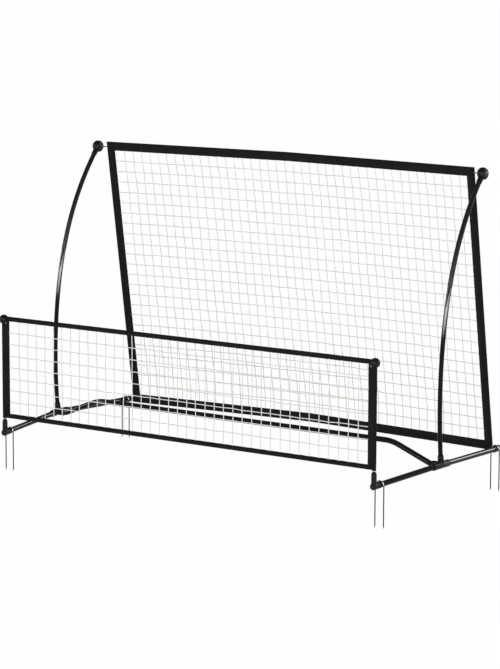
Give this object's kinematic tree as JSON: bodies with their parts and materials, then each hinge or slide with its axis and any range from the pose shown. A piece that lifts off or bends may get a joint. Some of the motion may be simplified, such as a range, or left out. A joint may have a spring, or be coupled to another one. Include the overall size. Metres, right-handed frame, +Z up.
{
  "type": "football rebounder",
  "caption": "Free-standing football rebounder: a tall leaning net held by curved poles, a low upright net in front, a tubular base and U-shaped ground pegs.",
  "frame": {"origin": "middle of the width and depth, at the level of the peg tips", "axes": "+X across the nets to the right seen from the player, +Y away from the player, +Z up"},
  "size_m": [1.902, 0.9465, 1.3036],
  "materials": {
    "black_tube": "glossy black powder coat on steel tube",
    "black_plastic": "fine-grained moulded black plastic",
    "black_fabric": "black woven polyester band",
    "net_cord": "pale twisted net cord",
    "zinc_steel": "zinc-plated steel wire, bolts and rivets"
  },
  "bodies": {
    "base": {"rail_front_left": "black_tube", "rail_front_right": "black_tube", "rail_rear_left": "black_tube", "rail_rear_right": "black_tube", "tee_left": "black_plastic", "tee_right": "black_plastic", "crossbar_left": "black_tube", "crossbar_right": "black_tube", "pole_lower_left": "black_tube", "pole_lower_right": "black_tube", "pole_upper_left": "black_tube", "pole_upper_right": "black_tube", "pole_hub_left": "black_plastic", "pole_hub_right": "black_plastic", "pole_bolt_left": "zinc_steel", "pole_bolt_right": "zinc_steel", "front_corner_left": "black_plastic", "front_corner_right": "black_plastic", "rail_end_left": "black_plastic", "rail_end_right": "black_plastic", "fold_bolt_left": "zinc_steel", "fold_bolt_right": "zinc_steel"},
    "tall_panel": {"tall_top_bar_left": "black_tube", "tall_top_bar_right": "black_tube", "tall_bottom_bar_left": "black_tube", "tall_bottom_bar_right": "black_tube", "tall_side_bar_left": "black_tube", "tall_side_bar_right": "black_tube", "tall_top_elbow_left": "black_plastic", "tall_top_elbow_right": "black_plastic", "tall_bottom_elbow_left": "black_plastic", "tall_bottom_elbow_right": "black_plastic", "tall_sleeve_left": "black_fabric", "tall_sleeve_right": "black_fabric", "tall_sleeve_top": "black_fabric", "tall_sleeve_bottom": "black_fabric", "tall_net": "net_cord"},
    "low_panel": {"low_post_left": "black_tube", "low_post_right": "black_tube", "low_knob_left": "black_plastic", "low_knob_right": "black_plastic", "low_top_bar_left": "black_tube", "low_top_bar_right": "black_tube", "low_bottom_bar_left": "black_tube", "low_bottom_bar_right": "black_tube", "low_rivet_left": "zinc_steel", "low_rivet_right": "zinc_steel", "low_sleeve_left": "black_fabric", "low_sleeve_right": "black_fabric", "low_sleeve_top": "black_fabric", "low_sleeve_bottom": "black_fabric", "low_net": "net_cord"},
    "peg_front_left": {"peg_front_left": "zinc_steel"},
    "peg_front_right": {"peg_front_right": "zinc_steel"},
    "peg_rear_left": {"peg_rear_left": "zinc_steel"},
    "peg_rear_right": {"peg_rear_right": "zinc_steel"}
  },
  "joints": [
    {"name": "tall_panel_fold", "type": "hinge", "parent": "base", "child": "tall_panel", "pos_m": [0, 0.42002, 0.167], "axis": [-1, 0, 0], "range_deg": [0, 99.1]},
    {"name": "low_panel_lift", "type": "slide", "parent": "base", "child": "low_panel", "axis": [0, 0, 1], "range_m": [0, 0.04]},
    {"name": "peg_front_left_pull", "type": "slide", "parent": "base", "child": "peg_front_left", "axis": [0, 0, 1], "range_m": [0, 0.18]},
    {"name": "peg_front_right_pull", "type": "slide", "parent": "base", "child": "peg_front_right", "axis": [0, 0, 1], "range_m": [0, 0.18]},
    {"name": "peg_rear_left_pull", "type": "slide", "parent": "base", "child": "peg_rear_left", "axis": [0, 0, 1], "range_m": [0, 0.18]},
    {"name": "peg_rear_right_pull", "type": "slide", "parent": "base", "child": "peg_rear_right", "axis": [0, 0, 1], "range_m": [0, 0.18]}
  ]
}
